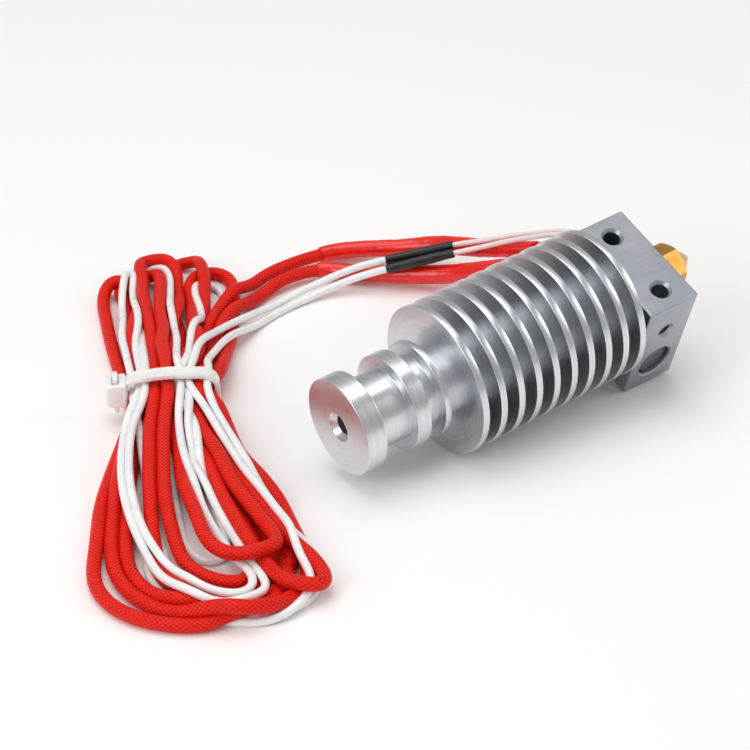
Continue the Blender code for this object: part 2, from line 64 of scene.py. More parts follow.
# Camera
CAMERA_AT = (-215.1, -261.5, 213.2)
CAMERA_TURN = (58.66, 0.16, -35.75)     # degrees
CAMERA_LENS = 118.5
SENSOR = 36.0

# Heat sink
COLLAR_R, GROOVE_R, NECK_R = 8.0, 6.0, 6.0
COLLAR_END, GROOVE_END, COLLAR2_END = 3.5, 9.3, 11.9
SMALL_FIN = (14.6, 15.75)
FIN_R, FIN_FIRST, FIN_PITCH, FIN_THICK, FIN_COUNT = 12.5, 18.4, 3.49, 1.2, 10
CORE_R = 7.0
BORE_R, BORE_MOUTH_R, BORE_MOUTH_DEPTH = 1.6, 2.4, 0.9
SOCKET_R, SOCKET_START = 3.6, 36.0
SINK_END = FIN_FIRST + (FIN_COUNT - 1) * FIN_PITCH + FIN_THICK

# Heater block
BLOCK_X, BLOCK_Y, BLOCK_Z = (52.1, 62.0), (-10.7, 9.3), (-12.9, 7.1)
BLOCK_MID = sum(BLOCK_X) / 2
CARTRIDGE_Z, SENSOR_Z = -7.4, 0.5
SCREW_HOLES_Y = (5.5, -7.0)
CLAMP_Y = -0.7

# Heat break and nozzle
BREAK_START, BREAK_NECK, BREAK_END = 36.3, (50.9, 52.4), 57.0
THREAD_R, THREAD_PITCH, THREAD_DEPTH = 2.9, 1.0, 0.45
NOZZLE_START, HEX, HEX_FLATS = 57.3, (62.5, 67.5), 7.0
NOZZLE_TIP, NOZZLE_TIP_R = 70.5, 0.5

# Cartridge, sensor and grub screws
SHEATH_R, SHEATH_WALL, SHEATH_Y, CORE_Y = 3.0, 0.35, (-9.9, 9.3), (-9.3, 9.0)
BEAD_Y, BEAD_HALF = 5.9, 1.25
GRUB_R, GRUB_LONG, GRUB_FLATS = 1.25, 2.2, 1.3
SENSOR_GRUB_Z, CLAMP_GRUB_Z = 1.95, -12.85

# Leads
BUTT_GAP = 0.3                  # between pieces that meet end to end
TIP_LONG, TIP_THIN = 4.0, 0.55  # a lead's bare end, and its radius as a share of the lead's

# The heater leads' routes: the lead to its sleeve, the sleeve, and on to the block.
RED_A = [(3.4, 46.0, 3.6), (7.8, 50.4, 3.1), (14.6, 55.0, 2.4), (22.6, 58.6, 2.1), (30.5, 60.2, 2.0)]
SLEEVE_A = [(38.0, 60.0, 2.0), (43.4, 57.9, 2.2), (50.0, 52.3, 3.0), (54.7, 46.6, 4.5),
            (57.6, 38.7, 6.5), (58.8, 31.5, 9.0), (58.9, 24.8, 11.9)]
RED_B = [(2.6, 41.8, 3.4), (8.0, 47.2, 2.8), (14.6, 51.6, 2.2), (21.4, 54.9, 2.0), (28.0, 56.4, 2.0)]
SLEEVE_B = [(34.4, 55.6, 2.0), (38.8, 51.6, 2.0), (44.9, 45.4, 2.3), (50.4, 38.8, 3.5),
            (53.6, 32.0, 6.4), (54.6, 25.0, 10.2)]
# The sensor leads' routes, in the same three stretches, and their bends to the block
WHITE_A = [(-0.8, 39.8, 6.2), (4.1, 43.4, 5.6), (9.9, 46.3, 4.6), (16.2, 48.9, 3.2), (21.8, 50.6, 2.3),
           (27.8, 51.1, 2.0), (33.6, 50.4, 3.1), (38.6, 48.8, 4.4)]
BLACK_A = [(42.8, 46.8, 5.2), (48.1, 43.6, 6.4), (52.7, 40.3, 7.9)]
WHITE_B = [(1.2, 38.2, 5.0), (5.4, 41.8, 4.4), (10.6, 44.6, 3.4), (16.2, 47.4, 1.9), (21.6, 49.2, 1.0),
           (27.4, 49.9, 0.8), (33.2, 49.2, 1.9), (37.9, 47.3, 3.4)]
BLACK_B = [(41.7, 45.1, 4.5), (47.0, 41.9, 5.9), (51.6, 38.6, 7.4)]
BEND_A = [(55.8, 36.2, 9.6), (58.4, 31.2, 11.9), (59.2, 25.0, 14.9), (58.4, 17.8, 18.6)]
BEND_B = [(54.8, 35.2, 9.0), (56.8, 30.6, 11.5), (57.2, 24.4, 14.9), (57.0, 17.6, 18.4)]

# The hank: its waist, where the tie holds it, and the turns that leave the waist on both sides.
WAIST = np.array((-10.3, 32.25))
WAIST_TURN = math.radians(-29.0)
ACROSS = np.array((math.cos(WAIST_TURN), math.sin(WAIST_TURN)))
THROUGH = np.array((-math.sin(WAIST_TURN), math.cos(WAIST_TURN)))
BUNDLE = (14.0, 6.0)            # inside of the strap, across and high
STRAP_FLOOR = 1.2               # its lower inner side, above the table
STRAP_WIDE, STRAP_THICK, STRAP_CORNER = 2.6, 0.9, 2.2
TOOTH_PITCH, TOOTH_DEPTH = 0.45, 0.07
STRAP_BULGE, BULGE_REACH = 0.55, 5.0    # how far the strap's top bulges over the bundle
TIE_HEAD, HEAD_GAP, HEAD_LIFT = (3.4, 4.4, 4.2), 0.15, 1.2
NEAR, FAR = -1, 1
# Each turn: its side, where its tip is across the waist, its reach, its width, how far its middle
# bows, how soon it opens from the waist, its hand, and its heights going out, at the tip and back.
TURNS = {
    "outer_1": (NEAR, 0.5, 57.6, 27.0, 0.0, 1.4, -1, (1.1, 1.1, 1.1)),
    "outer_2": (NEAR, 6.0, 57.2, 26.4, -1.8, 1.4, 1, (1.1, 2.8, 1.1)),
    "outer_3": (NEAR, 5.0, 54.2, 22.0, -2.0, 1.4, -1, (1.4, 1.1, 1.1)),
    "middle": (NEAR, 5.0, 52.6, 15.5, -0.6, 1.5, -1, (2.6, 1.1, 1.1)),
    "inner_1": (NEAR, 6.3, 49.0, 10.8, -1.5, 1.8, 1, (1.8, 2.9, 3.4)),
    "inner_2": (NEAR, 10.0, 46.6, 10.0, -1.8, 1.1, 1, (5.0, 5.2, 5.0)),
    "right": (NEAR, 17.6, 53.4, 7.8, -2.2, 0.9, 1, (3.3, 3.4, 3.0)),
    "white_left_1": (NEAR, 7.0, 55.6, 13.6, -5.0, 1.7, -1, (3.5, 2.4, 3.5)),
    "white_left_2": (NEAR, 6.5, 53.6, 10.4, -5.4, 1.8, -1, (3.6, 2.4, 3.0)),
    "white_inner": (NEAR, 4.0, 42.4, 6.0, -0.8, 1.6, -1, (1.4, 1.1, 2.8)),
    "white_right_1": (NEAR, 8.6, 56.8, 22.0, -1.0, 1.15, 1, (4.2, 0.7, 0.7)),
    "white_right_2": (NEAR, 9.8, 56.4, 20.0, -0.4, 1.3, 1, (2.9, 0.7, 0.7)),
    "far_1": (FAR, -6.4, 41.8, 7.0, -1.4, 0.9, 1, (3.0, 2.2, 1.1)),
    "far_2": (FAR, -3.0, 44.6, 6.4, -0.6, 0.9, 1, (4.4, 3.3, 1.2)),
    "far_3": (FAR, -1.0, 48.4, 7.2, 0.2, 0.9, 1, (1.8, 2.0, 3.0)),
    "far_4": (FAR, 4.2, 49.0, 6.2, 0.8, 0.9, 1, (3.0, 2.0, 1.1)),
    "far_5": (FAR, 8.6, 45.4, 7.0, 2.2, 1.2, -1, (2.8, 1.8, 1.1)),
    "white_far_1": (FAR, 8.0, 41.4, 5.2, 1.8, 1.2, -1, (3.0, 2.0, 0.8)),
    "white_far_2": (FAR, -1.8, 47.4, 6.0, 0.0, 1.5, 1, (4.0, 1.8, 3.0)),
    "white_far_3": (FAR, -4.9, 42.4, 3.8, -0.8, 0.9, -1, (3.5, 1.8, 2.4)),
    "white_far_4": (FAR, -1.0, 26.0, 5.8, 0.0, 1.1, -1, (0.7, 0.7, 0.7)),
}
# Each lead's order of turns, with the place (across, high) where it passes the waist between them
WINDING = {
    "red_a": [(2.7, 4.6), "inner_2", (0.9, 4.0), "far_3", (-2.3, 6.0), "middle", (2.2, 2.3), "far_4",
              (1.2, 2.3), "inner_1", (-0.1, 6.1), "far_2", (-3.2, 2.3), "outer_3", (3.9, 2.3)],
    "red_b": [(3.6, 4.4), "right", (1.9, 4.2), "far_5", (5.3, 4.0), "outer_2", (-4.5, 4.0), "far_1",
              (-5.5, 2.4), "outer_1", (5.4, 2.4)],
    "white_a": [(3.0, 6.6), "white_right_1", (-3.6, 4.0), "white_far_4", (-0.4, 3.0), "white_inner",
                (1.9, 5.4), "white_far_1", (4.0, 3.8)],
    "white_b": [(4.2, 6.3), "white_right_2", (-5.5, 5.0), "white_far_3", (-3.4, 6.6), "white_left_2",
                (1.4, 6.8), "white_far_2", (-4.4, 6.2), "white_left_1", (2.8, 5.4)],
}
# Where each lead's bare end is tucked, under the others: across, through and high
ENDS = {
    "red_a": [(3.6, 6.0, 1.3), (3.2, 11.0, 1.1), (3.0, 15.0, 1.1)],
    "red_b": [(5.0, 5.0, 1.3), (5.0, 9.0, 1.1), (5.2, 12.0, 1.1)],
    "white_a": [(3.4, -6.0, 2.0), (2.2, -14.0, 0.7), (1.4, -21.0, 0.7)],
    "white_b": [(2.2, 6.0, 3.0), (1.6, 11.0, 1.2), (1.2, 16.0, 0.7)],
}
LEG_POINTS, TIP_POINTS = 9, 9   # points on each leg of a turn and round its tip
CLEAR_OF_TIE = 7.0              # where a turn's own points begin, from the waist
HELD_FROM_X = 26.0              # beyond this a lead keeps its route to the sleeve

# How the leads settle
LINE_STEP = 1.0                 # spacing of a lead's points while it settles
SETTLE_ROUNDS, QUICK_ROUNDS = 260, 12
HOME_PULL = 0.02                # share of the way back to its planned place, level
LIFT_PULL, LIFT_LEFT = 0.04, 0.004      # the same in height: at the first round, and what stays
SINKING = 0.012                 # how far a lead sinks under its weight each round
BEND_PASSES, BEND_SHARE = 5, 0.0625
PUSH_PASSES, CROWDING = 3, 0.75
PAIRS_EVERY, PAIR_ROOM = 8, 1.0 # rounds between searches for touching leads, and their reach
STRAP_REACH = 2.0               # how far along the bundle the strap holds the leads in
SMOOTH_PASSES = 4               # over a settled lead, against unevenness where it touches others


# -------- scene

def show(obj):
    bpy.context.scene.collection.objects.link(obj)


def set_camera():
    data = bpy.data.cameras.new("camera")
    data.lens = CAMERA_LENS
    data.sensor_width = SENSOR
    data.clip_start = 0.01
    camera = bpy.data.objects.new("camera", data)
    camera.location = Vector(CAMERA_AT) * MM
    camera.rotation_euler = [math.radians(a) for a in CAMERA_TURN]
    show(camera)
    bpy.context.scene.camera = camera


def area_light(name, place, aim, size, power):
    data = bpy.data.lights.new(name, "AREA")
    data.shape = "RECTANGLE"
    data.size, data.size_y = size
    data.energy = power
    light = bpy.data.objects.new(name, data)
    light.location = place
    light.rotation_euler = (Vector(aim) - Vector(place)).to_track_quat("-Z", "Y").to_euler()
    show(light)


def set_light():
    world = bpy.data.worlds.new("studio")
    bpy.context.scene.world = world
    world.use_nodes = True
    back = world.node_tree.nodes["Background"]
    back.inputs["Color"].default_value = (1.0, 0.99, 0.98, 1)
    back.inputs["Strength"].default_value = 0.42
    area_light("overhead", (-0.05, 0.10, 0.60), (0, 0, 0), (0.55, 0.55), 1.9)
    area_light("left_soft", (-0.55, -0.10, 0.35), (0, 0.01, 0), (0.30, 0.40), 1.3)
    area_light("right_soft", (0.45, -0.35, 0.40), (0, 0, 0), (0.25, 0.35), 0.7)
    settings = bpy.context.scene.view_settings
    settings.view_transform = "Standard"
    settings.look = "None"


# -------- materials

class Look:
    """A material under construction: a Principled shader and short calls that add nodes to it."""

    def __init__(self, name, metallic=0.0):
        self.made = bpy.data.materials.new(name)
        self.made.use_nodes = True
        self.tree = self.made.node_tree
        self.shader = self.tree.nodes["Principled BSDF"]
        self.set(self.shader, {"Metallic": metallic})

    def set(self, node, values):
        for key, value in values.items():
            socket = node.inputs[key]
            if isinstance(value, bpy.types.NodeSocket):
                self.tree.links.new(value, socket)
            else:
                socket.default_value = value

    def add(self, kind, values=None, **settings):
        node = self.tree.nodes.new("ShaderNode" + kind)
        for key, value in settings.items():
            setattr(node, key, value)
        self.set(node, values or {})
        return node

    def calc(self, operation, a, b=0.0):
        return self.add("Math", {0: a, 1: b}, operation=operation).outputs[0]

    def mix(self, one, share, other):
        """A share of one value and the rest of another."""
        return self.calc("ADD", self.calc("MULTIPLY", one, share), self.calc("MULTIPLY", other, 1 - share))

    def coords(self, hot_end=False):
        """Object coordinates, on the table or along the hot end's own axis."""
        coords = self.add("TexCoord").outputs["Object"]
        if hot_end:
            values = {"Vector": coords, "Location": HOT_END.to_translation(), "Rotation": (ROLL, -PITCH, 0)}
            coords = self.add("Mapping", values, vector_type="TEXTURE").outputs[0]
        return coords

    def rings(self):
        """The hot end's coordinates, and a value that is the same all round its axis."""
        coords = self.coords(True)
        x, y, z = self.add("SeparateXYZ", {0: coords}).outputs
        square = self.calc("ADD", self.calc("MULTIPLY", y, y), self.calc("MULTIPLY", z, z))
        return coords, self.calc("ADD", self.calc("SQRT", square), x)

    def noise(self, vector, scale, detail=3.0, rough=0.55):
        node = self.add("TexNoise", {"Vector": vector, "Scale": scale, "Detail": detail, "Roughness": rough})
        return node.outputs["Fac"]

    def noise_1d(self, w, scale, detail):
        node = self.add("TexNoise", {"W": w, "Scale": scale, "Detail": detail}, noise_dimensions="1D")
        return node.outputs["Fac"]

    def ramp(self, factor, stops):
        node = self.add("ValToRGB", {"Fac": factor})
        elements = node.color_ramp.elements
        while len(elements) < len(stops):
            elements.new(0.5)
        for element, (place, colour) in zip(elements, stops):
            element.position = place
            element.color = (*colour, 1)
        return node.outputs["Color"]

    def spread(self, factor, low, high):
        """A noise factor, which seldom leaves 0.3 to 0.7, mapped to low..high."""
        node = self.add("MapRange", {"Value": factor, "From Min": 0.3, "From Max": 0.7,
                                     "To Min": low, "To Max": high})
        return node.outputs["Result"]

    def bump(self, height, distance, strength, over=None):
        values = {"Height": height, "Distance": distance * MM, "Strength": strength}
        if over is not None:
            values["Normal"] = over
        return self.add("Bump", values).outputs["Normal"]

    def finish(self, **inputs):
        self.set(self.shader, {key.replace("_", " "): value for key, value in inputs.items()})
        return self.made


def turned_metal(name, light, dark, rough):
    """Bright turned metal: fine rings that run round the hot end's axis, on faces and outsides."""
    look = Look(name, metallic=1.0)
    coords, along = look.rings()
    fine = look.noise_1d(along, 14000, 3)
    broad = look.noise_1d(along, 1500, 2)
    cloud = look.noise(coords, 260)
    colour = look.ramp(look.mix(broad, 0.6, cloud), [(0.3, dark), (0.62, light)])
    roughness = look.spread(look.mix(fine, 0.7, cloud), rough * 0.8, rough * 1.25)
    normal = look.bump(broad, 0.003, 0.25, look.bump(fine, 0.003, 0.6))
    return look.finish(Base_Color=colour, Roughness=roughness, Normal=normal)


def milled_metal(name, light, dark, rough):
    """Satin machined faces: fine straight tool marks, faint blasting grain and a few scuffs."""
    look = Look(name, metallic=1.0)
    coords = look.coords(True)
    marks_at = look.add("Mapping", {"Vector": coords, "Scale": (240, 2600, 2600),
                                    "Rotation": (0.0, 0.0, math.radians(7))}).outputs[0]
    marks = look.noise(marks_at, 1.0, 4)
    grain = look.noise(coords, 5200, 2)
    cloud = look.noise(coords, 190, 4)
    scuffs_at = look.add("Mapping", {"Vector": coords, "Scale": (900, 160, 900),
                                     "Rotation": (0.6, 0.3, 0.8)}).outputs[0]
    scuffs = look.noise(scuffs_at, 1.0, 5, 0.7)
    colour = look.ramp(look.mix(cloud, 0.65, marks), [(0.32, dark), (0.66, light)])
    roughness = look.spread(look.mix(scuffs, 0.6, marks), rough * 0.75, rough * 1.2)
    normal = look.bump(marks, 0.010, 0.5, look.bump(grain, 0.006, 0.5))
    return look.finish(Base_Color=colour, Roughness=roughness, Normal=normal)


def brass_look():
    look = Look("brass_turned", metallic=1.0)
    coords, along = look.rings()
    fine = look.noise_1d(along, 9000, 2)
    cloud = look.noise(coords, 500, 4)
    colour = look.ramp(cloud, [(0.3, (0.56, 0.26, 0.045)), (0.55, (0.76, 0.42, 0.10)),
                               (0.72, (0.86, 0.56, 0.20))])
    return look.finish(Base_Color=colour, Roughness=look.spread(cloud, 0.20, 0.36),
                       Normal=look.bump(fine, 0.006, 0.6))


def clouded(name, dark, light, rough, cloud, grain=None, relief=None, top=0.7, metallic=0.0, **inputs):
    """A clouded tone, with a gloss and a relief that follow a finer grain.

    The cloud and the grain are given as scale and detail, the relief as its depth in mm and strength.
    """
    look = Look(name, metallic)
    coords = look.coords()
    clouds = look.noise(coords, *cloud)
    grains = look.noise(coords, *grain) if grain else clouds
    if relief:
        inputs["Normal"] = look.bump(grains, *relief)
    return look.finish(Base_Color=look.ramp(clouds, [(0.3, dark), (top, light)]),
                       Roughness=look.spread(grains, *rough), **inputs)


def plain_metal(name, light, dark, rough, scale=700):
    """Metal of small pieces."""
    return clouded(name, dark, light, (rough * 0.75, rough * 1.3), (scale, 4), (scale * 9, 2), (0.006, 0.5),
                   top=0.68, metallic=1.0)


def braid_look(name, gap_shade, bright, carriers, cell):
    """Braided sleeving: two sets of yarns at a slant, each passing over and under the other, darkened with
    painted shade where they dip into the gaps.
    """
    look = Look(name)
    uv = look.add("SeparateXYZ", {0: look.add("TexCoord").outputs["UV"]}).outputs
    around = look.calc("MULTIPLY", uv[0], float(carriers))
    along = look.calc("DIVIDE", uv[1], cell)
    one, other = look.calc("ADD", around, along), look.calc("SUBTRACT", around, along)
    over = look.calc("MODULO", look.calc("ADD", look.calc("FLOOR", one), look.calc("FLOOR", other)), 2.0)
    over = look.calc("ABSOLUTE", over)

    def hump(value):
        return look.calc("SINE", look.calc("MULTIPLY", look.calc("FRACT", value), math.pi))

    def yarn(across, lengthwise):
        """A yarn's round back, its plies, and the way it dips under at both ends of a cell."""
        plies = look.calc("MULTIPLY", look.calc("SINE", look.calc("MULTIPLY", across, math.tau * 4)), 0.06)
        back = look.calc("POWER", look.calc("MAXIMUM", hump(across), 0.001), 0.6)
        dip = look.calc("POWER", look.calc("MAXIMUM", hump(lengthwise), 0.001), 0.5)
        return look.calc("ADD", look.calc("MULTIPLY", back, dip), plies)

    height = look.calc("ADD", look.calc("MULTIPLY", yarn(one, other), over),
                       look.calc("MULTIPLY", yarn(other, one), look.calc("SUBTRACT", 1.0, over)))
    coords = look.coords()
    cloud = look.noise(coords, 420, 4)
    fuzz = look.noise(coords, 6500, 2)
    # Colour follows the yarns' height: painted shade in the gaps where the yarns dip under, the full red on
    # their backs.
    colour = look.ramp(look.mix(height, 0.72, cloud), [(0.12, gap_shade), (0.62, bright)])
    normal = look.bump(height, 0.16, 0.55, look.bump(fuzz, 0.012, 0.35))
    return look.finish(Base_Color=colour, Roughness=look.spread(fuzz, 0.36, 0.58), Normal=normal,
                       Specular_IOR_Level=0.24)


def plastic_look(name, light, dark, rough, ripple, coat=0.0):
    """Extruded or shrunk plastic: a slightly uneven tone and gloss, with soft ripples along it."""
    look = Look(name)
    coords = look.coords()
    cloud = look.noise(coords, 300, 4)
    wave = look.noise(coords, 900, 2)
    grain = look.noise(coords, 7000, 2)
    normal = look.bump(wave, ripple, 0.8, look.bump(grain, 0.004, 0.4))
    return look.finish(Base_Color=look.ramp(cloud, [(0.3, dark), (0.68, light)]),
                       Roughness=look.spread(cloud, rough * 0.75, rough * 1.25), Normal=normal,
                       Coat_Weight=coat, Coat_Roughness=0.12)


def nylon_look():
    look = Look("natural_nylon_soft")
    coords = look.coords()
    cloud = look.noise(coords, 420, 4)
    grain = look.noise(coords, 5200, 2)
    return look.finish(Base_Color=look.ramp(cloud, [(0.3, (0.86, 0.83, 0.82)), (0.7, (0.95, 0.93, 0.92))]),
                       Roughness=look.spread(grain, 0.20, 0.34), Specular_IOR_Level=0.6,
                       Subsurface_Weight=0.5, Subsurface_Radius=(1.0, 0.8, 0.75), Subsurface_Scale=0.0012,
                       Coat_Weight=0.4, Coat_Roughness=0.10, Normal=look.bump(cloud, 0.02, 0.4))


ALUMINIUM = turned_metal("turned_aluminium_bright", (0.74, 0.76, 0.79), (0.65, 0.67, 0.70), 0.28)
MILLED = milled_metal("milled_aluminium_satin", (0.46, 0.48, 0.52), (0.34, 0.36, 0.40), 0.42)
STEEL = turned_metal("stainless_turned", (0.74, 0.74, 0.75), (0.58, 0.57, 0.57), 0.24)
BRASS = brass_look()
SHEATH_STEEL = plain_metal("cartridge_sheath_steel", (0.22, 0.22, 0.24), (0.12, 0.12, 0.13), 0.40)
CERAMIC = clouded("ceramic_core", (0.74, 0.71, 0.64), (0.88, 0.86, 0.81), (0.6, 0.85), (900, 4), (6000, 3),
                  (0.02, 0.7))
GLASS = clouded("sensor_glass_amber", (0.48, 0.20, 0.06), (0.72, 0.42, 0.18), (0.06, 0.16), (1600, 3),
                Transmission_Weight=0.5, IOR=1.5)
BLACK_STEEL = plain_metal("black_oxide_steel", (0.09, 0.09, 0.10), (0.03, 0.03, 0.033), 0.34)
# Each braid's first colour is painted shade, for the gaps between its yarns.
RED_BRAID = braid_look("red_braided_sleeving", (0.24, 0.001, 0.0), (0.92, 0.012, 0.002), 10, 0.80)
FINE_BRAID = braid_look("red_braided_sleeving_fine", (0.24, 0.001, 0.0), (0.92, 0.012, 0.002), 8, 0.74)
RED_SHRINK = plastic_look("red_shrink_gloss", (0.88, 0.010, 0.002), (0.72, 0.004, 0.001), 0.26, 0.05, 0.25)
WHITE_SKIN = plastic_look("white_insulation_gloss", (0.90, 0.90, 0.89), (0.82, 0.83, 0.84), 0.30, 0.006, 0.1)
PALE_SKIN = plastic_look("pale_insulation_satin", (0.90, 0.82, 0.80), (0.80, 0.70, 0.69), 0.36, 0.02)
BLACK_SHRINK = plastic_look("black_shrink_satin", (0.014, 0.014, 0.016), (0.006, 0.006, 0.007), 0.36, 0.05)
COPPER = plain_metal("tinned_copper_strands", (0.82, 0.80, 0.77), (0.60, 0.57, 0.53), 0.30, 1500)
NYLON = nylon_look()
FLOOR = clouded("white_sweep", (0.95, 0.945, 0.94), (0.97, 0.965, 0.96), (0.6, 0.6), (3.0, 3), (900, 2),
                (0.01, 0.3), Specular_IOR_Level=0.2)


# -------- making meshes

def mesh_piece(name, points, faces, look, slot, replaces=(), place=None, uvs=None, **dressing):
    """A shown piece from points in mm, standing where place puts it and riding on its body."""
    mesh = bpy.data.meshes.new(name)
    mesh.from_pydata([tuple(p) for p in np.asarray(points, float) * MM], [], faces)
    if uvs is not None:
        layer = mesh.uv_layers.new(name="around_along")
        layer.data.foreach_set("uv", np.asarray(uvs, np.float32).ravel())
    obj = bpy.data.objects.new(name, mesh)
    show(obj)
    dress(obj, look, slot, replaces, place, **dressing)
    facing_out(mesh)
    return obj


def dress(obj, look, slot, replaces=(), place=None, body=ROOT, smooth=40):
    obj.data.materials.clear()
    obj.data.materials.append(look)
    obj.data.shade_smooth()
    obj.data.set_sharp_from_angle(angle=math.radians(smooth))
    if place is not None:
        obj.data.transform(place)
    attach(obj, body)
    if replaces:
        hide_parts(*replaces)


def rounded(profile, steps):
    """Profile corners (along, radius, rounding) as points, each rounded corner as a small arc."""
    corners = [(np.array(p[:2], float), p[2] if len(p) > 2 else 0.0) for p in profile]
    out = []
    for i, (corner, amount) in enumerate(corners):
        if not amount or i in (0, len(corners) - 1):
            out.append(corner)
            continue
        before, after = corners[i - 1][0], corners[i + 1][0]
        back, on = before - corner, after - corner
        reach = min(amount, np.linalg.norm(back) * 0.45, np.linalg.norm(on) * 0.45)
        start = corner + back / np.linalg.norm(back) * reach
        end = corner + on / np.linalg.norm(on) * reach
        for k in range(steps + 1):
            t = k / steps
            out.append((1 - t) ** 2 * start + 2 * t * (1 - t) * corner + t ** 2 * end)
    return out


def lathe(profile, sides, steps=3):
    """Points and faces of a closed turned solid round X, from (along, radius, rounding) corners."""
    line = rounded(profile, steps)
    points, faces, rings = [], [], []
    for x, r in line:
        if r < 1e-6:
            rings.append([len(points)] * sides)
            points.append((x, 0, 0))
        else:
            rings.append(list(range(len(points), len(points) + sides)))
            points += [(x, r * math.cos(math.tau * k / sides), r * math.sin(math.tau * k / sides))
                       for k in range(sides)]
    loops = list(zip(rings, rings[1:]))
    if line[0][1] > 1e-6 and line[-1][1] > 1e-6:
        loops.append((rings[-1], rings[0]))
    for a, b in loops:
        for k in range(sides):
            n = (k + 1) % sides
            face = list(dict.fromkeys((a[k], a[n], b[n], b[k])))
            if len(face) > 2:
                faces.append(face)
    return points, faces


def facing_out(mesh):
    bm = bmesh.new()
    bm.from_mesh(mesh)
    bmesh.ops.recalc_face_normals(bm, faces=bm.faces)
    bm.to_mesh(mesh)
    bm.free()


def modify(obj, kind, **settings):
    modifier = obj.modifiers.new(kind.lower(), kind)
    for key, value in settings.items():
        setattr(modifier, key, value)


def weigh_flats(obj):
    """Flat faces stay flat-shaded beside their rounded corners."""
    modify(obj, "WEIGHTED_NORMAL", keep_sharp=True)


def turned(name, profile, look, slot, replaces, place=HOT_END, *, sides, steps=3):
    weigh_flats(mesh_piece(name, *lathe(profile, sides, steps), look, slot, replaces, place))


def rounded_box(sizes, rounding, profile, taper=1.0):
    """Points and faces of a box round the origin; taper narrows its -X end."""
    bm = bmesh.new()
    bmesh.ops.create_cube(bm, size=1.0)
    bmesh.ops.scale(bm, vec=sizes, verts=bm.verts)
    for vert in bm.verts:
        if vert.co.x < 0:
            vert.co.y *= taper
            vert.co.z *= taper
    bmesh.ops.bevel(bm, geom=bm.edges[:], offset=rounding, segments=4, affect="EDGES", profile=profile)
    points = [v.co.copy() for v in bm.verts]
    faces = [[v.index for v in f.verts] for f in bm.faces]
    bm.free()
    return points, faces


def hex_solid(sections, turn=0):
    """Points and faces of a solid through (along, corner radius) hexagons round the X axis."""
    angles = [math.radians(60 * k + turn) for k in range(6)]
    points = [(x, r * math.cos(a), r * math.sin(a)) for x, r in sections for a in angles]
    last = len(points) - 6
    faces = [tuple(range(6)), tuple(range(last, last + 6))]
    faces += [(a + k, a + (k + 1) % 6, a + 6 + (k + 1) % 6, a + 6 + k) for a in range(0, last, 6)
              for k in range(6)]
    return points, faces


def sharp_box(xs, ys, zs):
    points = [(x, y, z) for x in xs for y in ys for z in zs]
    return points, [(0, 1, 3, 2), (4, 6, 7, 5), (0, 4, 5, 1), (2, 3, 7, 6), (0, 2, 6, 4), (1, 5, 7, 3)]


def helper(points, faces):
    """A mesh that cuts another one and is then removed."""
    mesh = bpy.data.meshes.new("helper")
    mesh.from_pydata([tuple(Vector(p) * MM) for p in points], [], faces)
    facing_out(mesh)
    obj = bpy.data.objects.new("helper", mesh)
    show(obj)
    return obj


def combine(obj, others):
    """Applies (operation, helper) pairs to the object's mesh and removes the helpers."""
    for operation, other in others:
        modify(obj, "BOOLEAN", operation=operation, solver="EXACT", object=other)
    bpy.context.view_layer.update()
    graph = bpy.context.evaluated_depsgraph_get()
    mesh = bpy.data.meshes.new_from_object(obj.evaluated_get(graph))
    obj.modifiers.clear()
    obj.data = mesh
    for _, other in others:
        bpy.data.objects.remove(other, do_unlink=True)


def moved(points, turn, place):
    return [turn @ Vector(p) + Vector(place) for p in points]


TO_X = Matrix.Identity(3)
TO_Y = Matrix.Rotation(math.radians(90), 3, "Z")
TO_MINUS_Y = Matrix.Rotation(math.radians(-90), 3, "Z")
TO_Z = Matrix.Rotation(math.radians(-90), 3, "Y")
TO_MINUS_Z = Matrix.Rotation(math.radians(90), 3, "Y")


# -------- leads

def smooth_line(points, per_span=24):
    """A uniform Catmull-Rom curve through the points, and the distance along it at each of them."""
    p = [Vector(q) for q in points]
    p = [2 * p[0] - p[1], *p, 2 * p[-1] - p[-2]]
    line, marks, run = [p[1].copy()], [0.0], 0.0
    for i in range(1, len(p) - 2):
        a, b, c, d = p[i - 1:i + 3]
        for k in range(1, per_span + 1):
            t = k / per_span
            q = 0.5 * (2 * b + (c - a) * t + (2 * a - 5 * b + 4 * c - d) * t ** 2
                       + (3 * b - a - 3 * c + d) * t ** 3)
            run += (q - line[-1]).length
            line.append(q)
        marks.append(run)
    return np.array([tuple(q) for q in line]), marks


def lengths(line):
    return np.concatenate([[0], np.cumsum(np.linalg.norm(np.diff(line, axis=0), axis=1))])


def evenly(line, step, start=0.0, end=None):
    """Points of the line from one distance along it to another, evenly spaced."""
    along = lengths(line)
    end = along[-1] if end is None else end
    count = max(3, int(round((end - start) / step)) + 1)
    at = np.linspace(start, end, count)
    return np.stack([np.interp(at, along, line[:, k]) for k in range(3)], 1)


def frames(line):
    """Two directions square to the line at each point, carried along it without twist."""
    tangent = np.gradient(line, axis=0)
    tangent /= np.linalg.norm(tangent, axis=1)[:, None]
    side = np.zeros_like(line)
    first = np.cross(tangent[0], (0, 0, 1.0))
    side[0] = first / np.linalg.norm(first)
    for i in range(1, len(line)):
        s = side[i - 1] - tangent[i] * (side[i - 1] @ tangent[i])
        side[i] = s / np.linalg.norm(s)
    return side, np.cross(tangent, side)


